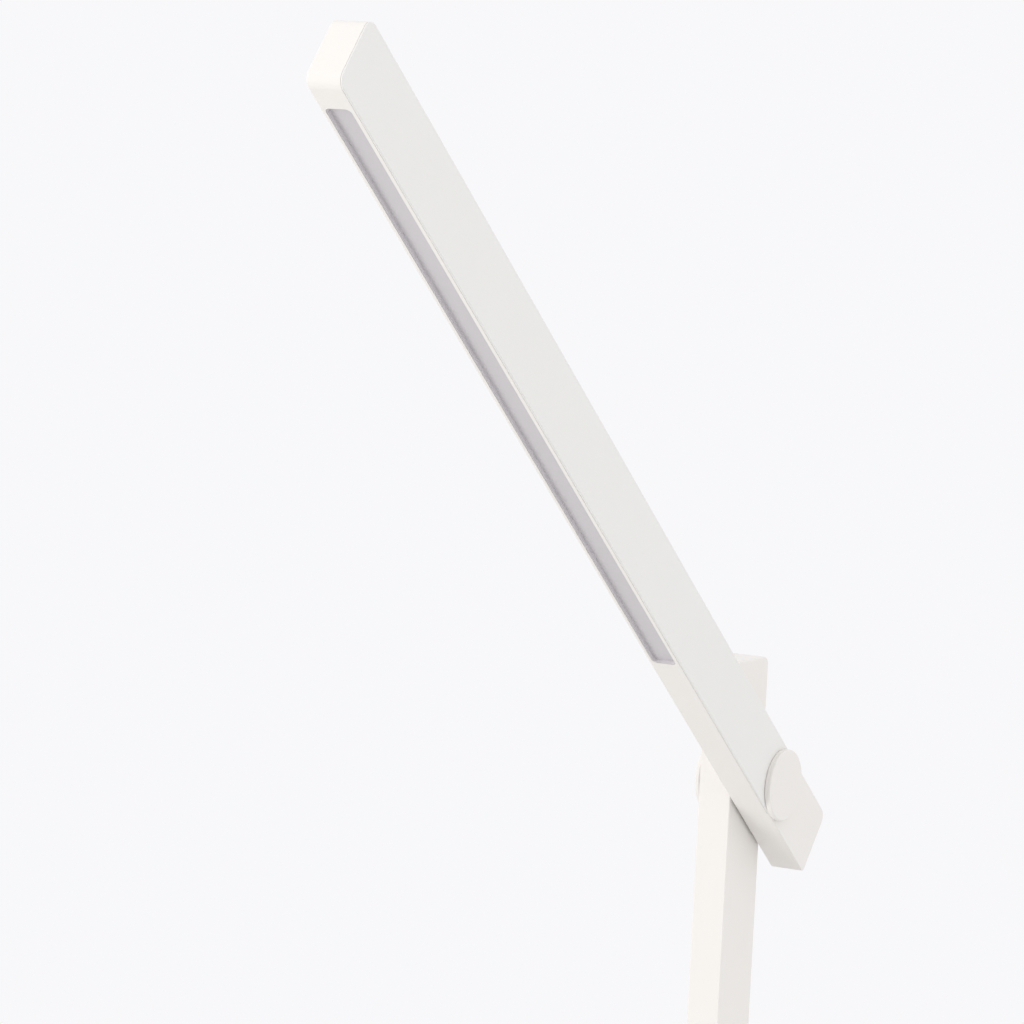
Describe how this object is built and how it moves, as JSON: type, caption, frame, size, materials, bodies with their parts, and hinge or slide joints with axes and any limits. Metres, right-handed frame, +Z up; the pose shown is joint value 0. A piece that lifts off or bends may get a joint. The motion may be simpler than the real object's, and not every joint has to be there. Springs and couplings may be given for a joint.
{
  "type": "desk lamp",
  "caption": "Folding LED desk lamp: a slim rectangular bar head and post hinged side by side, on a low weighted base with push buttons.",
  "frame": {"origin": "centre of the surface that the feet stand on", "axes": "+Z up, -Y to the front (the side the head reaches to), +X along the hinge axes towards the head"},
  "size_m": [0.12, 0.3334, 0.7579],
  "materials": {
    "head_moulding": "fine matte moulded white",
    "post_paint": "matte white powder coat on extruded aluminium",
    "base_moulding": "fine matte moulded white",
    "cap_plastic": "satin moulded white",
    "button_plastic": "satin light grey",
    "diffuser_plastic": "frosted milky acrylic, unlit",
    "white_plastic": "plain white moulding",
    "nylon": "natural nylon",
    "casting": "die-cast aluminium, as cast",
    "painted_casting": "matte white powder coat on die-cast aluminium",
    "bare_aluminium": "extruded, bare",
    "steel": "zinc-plated steel",
    "weight_steel": "black-oxide steel plate",
    "rubber": "soft black rubber",
    "board": "green solder mask",
    "white_board": "white solder mask",
    "chip_black": "black epoxy",
    "chip_yellow": "phosphor",
    "lead_white": "white jacket",
    "contact_brass": "tinned brass"
  },
  "bodies": {
    "base": {"stem_body": "painted_casting", "stem_side_cover": "cap_plastic", "stem_cap": "cap_plastic", "foot_bush": "nylon", "stem_screws": "steel", "base_lead": "lead_white", "base_top_cover": "base_moulding", "base_bottom_cover": "base_moulding", "rubber_feet": "rubber", "weight_plate": "weight_steel", "base_screws": "steel", "control_board": "board", "board_screws": "steel", "switch_housings": "chip_black", "driver_chip": "chip_black", "inductor": "chip_black", "capacitor": "bare_aluminium", "board_connectors": "white_plastic", "power_jack": "chip_black", "jack_pin": "contact_brass", "supply_lead": "lead_white"},
    "post": {"head_axle": "steel", "head_friction_washer": "nylon", "head_pressure_washer": "steel", "head_spring_washers": "steel", "head_nut": "steel", "post_cap": "cap_plastic", "foot_axle": "steel", "foot_friction_washer": "nylon", "foot_pressure_washer": "steel", "foot_spring_washers": "steel", "foot_nut": "steel", "foot_cap": "cap_plastic", "post_tube": "post_paint", "post_top_cap": "cap_plastic", "post_head_insert": "casting", "post_foot_insert": "painted_casting", "post_lead": "lead_white"},
    "head": {"head_shell": "head_moulding", "head_side_cover": "head_moulding", "head_cap": "cap_plastic", "head_bush": "nylon", "diffuser": "diffuser_plastic", "reflector_frame": "white_plastic", "led_board": "white_board", "led_chips": "chip_yellow", "heat_sink": "bare_aluminium", "heat_sink_screws": "steel", "led_connector": "white_plastic", "head_lead": "lead_white"},
    "colour_button": {"colour_button": "button_plastic", "colour_plunger": "chip_black"},
    "power_button": {"power_button": "button_plastic", "power_plunger": "chip_black"},
    "dimmer_button": {"dimmer_button": "button_plastic", "dimmer_plunger": "chip_black"}
  },
  "joints": [
    {"name": "post_tilt", "type": "hinge", "parent": "base", "child": "post", "pos_m": [0, 0.048, 0.0346], "axis": [1, 0, 0], "range_deg": [-4.5, 95.5]},
    {"name": "head_tilt", "type": "hinge", "parent": "post", "child": "head", "pos_m": [0, 0.08902, 0.46063], "axis": [1, 0, 0], "range_deg": [-50.5, 129.5]},
    {"name": "colour_press", "type": "slide", "parent": "base", "child": "colour_button", "axis": [0, 0, -1], "range_m": [0, 0.0005], "stiffness_N_per_m": 600, "springref_m": -0.001},
    {"name": "power_press", "type": "slide", "parent": "base", "child": "power_button", "axis": [0, 0, -1], "range_m": [0, 0.0005], "stiffness_N_per_m": 600, "springref_m": -0.001},
    {"name": "dimmer_press", "type": "slide", "parent": "base", "child": "dimmer_button", "axis": [0, 0, -1], "range_m": [0, 0.0005], "stiffness_N_per_m": 600, "springref_m": -0.001}
  ]
}
